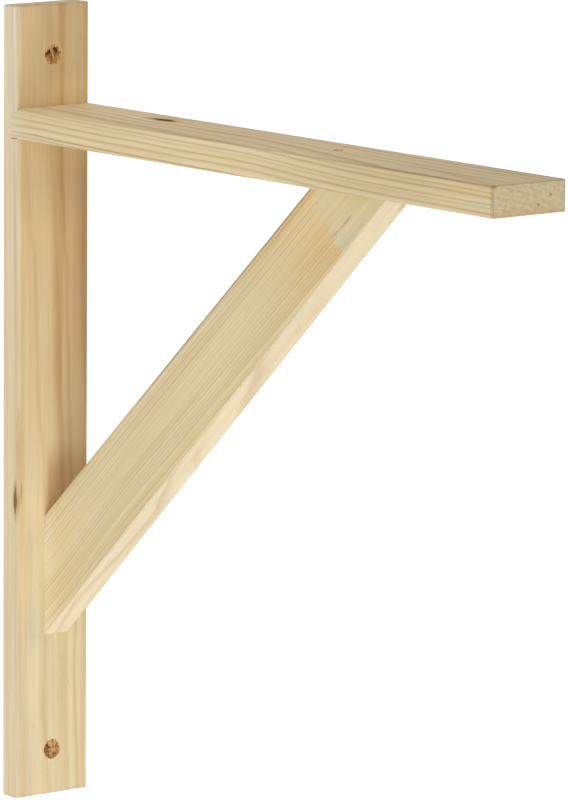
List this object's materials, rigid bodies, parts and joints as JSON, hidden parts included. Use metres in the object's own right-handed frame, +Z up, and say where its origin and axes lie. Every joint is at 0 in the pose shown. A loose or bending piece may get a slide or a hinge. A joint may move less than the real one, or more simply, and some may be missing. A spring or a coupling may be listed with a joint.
{
  "type": "wooden shelf bracket",
  "caption": "Wooden wall bracket for a shelf: an upright board with wall screw holes, a flat arm let into it and a diagonal brace on edge below.",
  "frame": {"origin": "on the wall plane, midway between the two wall screw holes, in the middle of the upright's width", "axes": "+X out of the wall along the arm, +Z up along the upright, +Y across the width"},
  "size_m": [0.28, 0.033, 0.3],
  "materials": {
    "upright_wood": "planed bare pine, golden tan face",
    "arm_wood": "planed bare pine, pinkish tan",
    "brace_wood": "planed bare pine, pale cream",
    "screw_steel": "zinc plated",
    "nail_steel": "dull, lightly rusted"
  },
  "bodies": {
    "root": {"upright": "upright_wood", "arm": "arm_wood", "brace": "brace_wood", "arm_screw_near": "screw_steel", "arm_screw_far": "screw_steel", "brace_toe_screw": "screw_steel", "brace_head_nail": "nail_steel"}
  },
  "joints": []
}
